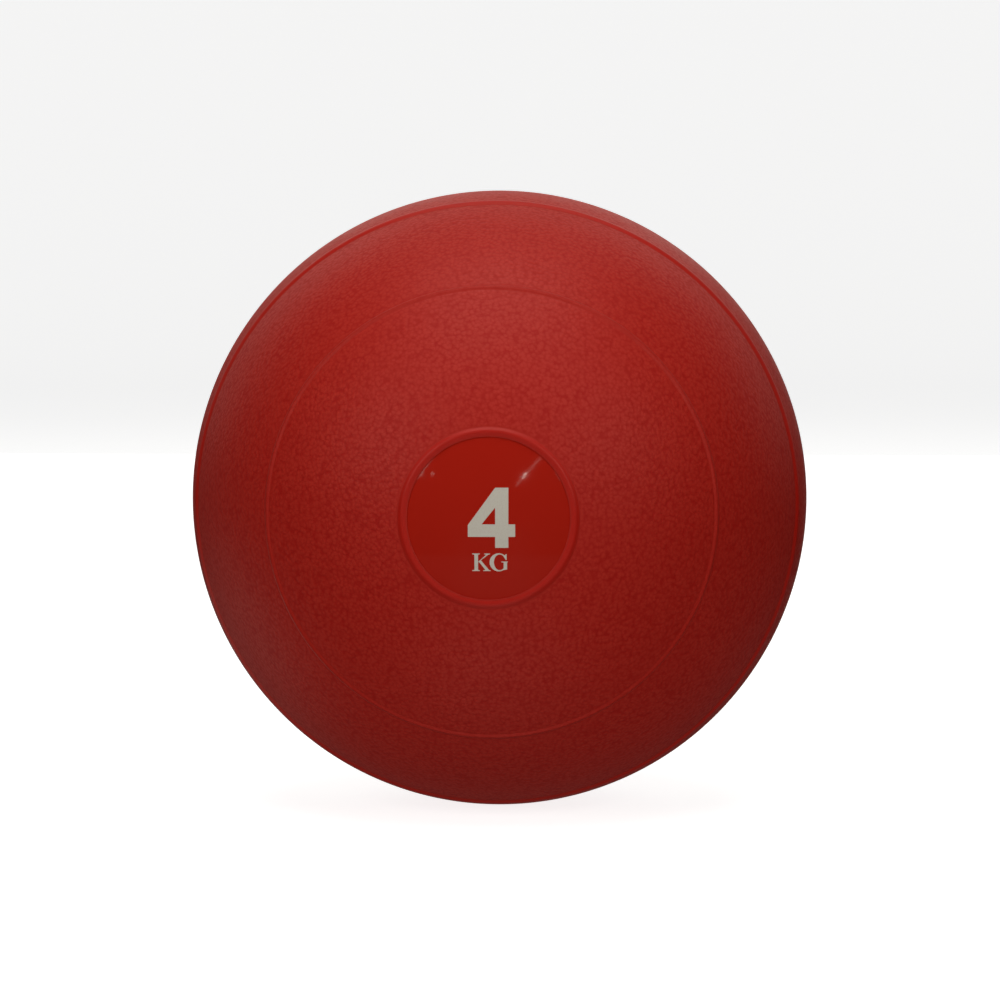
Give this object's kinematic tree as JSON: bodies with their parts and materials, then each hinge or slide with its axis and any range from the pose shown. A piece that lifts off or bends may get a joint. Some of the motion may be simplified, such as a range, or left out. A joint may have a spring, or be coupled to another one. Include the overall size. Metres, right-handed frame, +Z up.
{
  "type": "medicine ball",
  "caption": "Round no-bounce medicine ball: a thick soft PVC shell with raised ribs, a loose sand fill, a plugged filler hole with a needle valve, and a plain weight marking.",
  "frame": {"origin": "middle of the flattened patch under the ball, on the surface it rests on, right under the ball's centre", "axes": "+Z up; the moulded poles lie along Y, with the weight label facing -Y and the filler plug facing +Y; +X is to the right when looking at the weight label"},
  "size_m": [0.23, 0.2296, 0.2294],
  "materials": {
    "shell_pvc": "satin",
    "label_vinyl": "gloss",
    "label_ink": "satin",
    "bush_pvc": "satin",
    "plug_rubber": "satin",
    "valve_rubber": "matte",
    "iron_sand": "matte"
  },
  "bodies": {
    "ball": {"shell": "shell_pvc", "weight_label": "label_vinyl", "numeral_4": "label_ink", "letter_K": "label_ink", "letter_G": "label_ink", "rear_label": "label_vinyl", "filler_bush": "bush_pvc"},
    "plug": {"filler_plug": "plug_rubber", "needle_valve": "valve_rubber"},
    "sand": {"sand_fill": "iron_sand"}
  },
  "joints": [
    {"name": "plug_pull", "type": "slide", "parent": "ball", "child": "plug", "axis": [0, 1, 0], "range_m": [0, 0.03]},
    {"name": "sand_shift", "type": "hinge", "parent": "ball", "child": "sand", "pos_m": [0, 0, 0.11437], "axis": [0, 1, 0], "continuous": true}
  ]
}
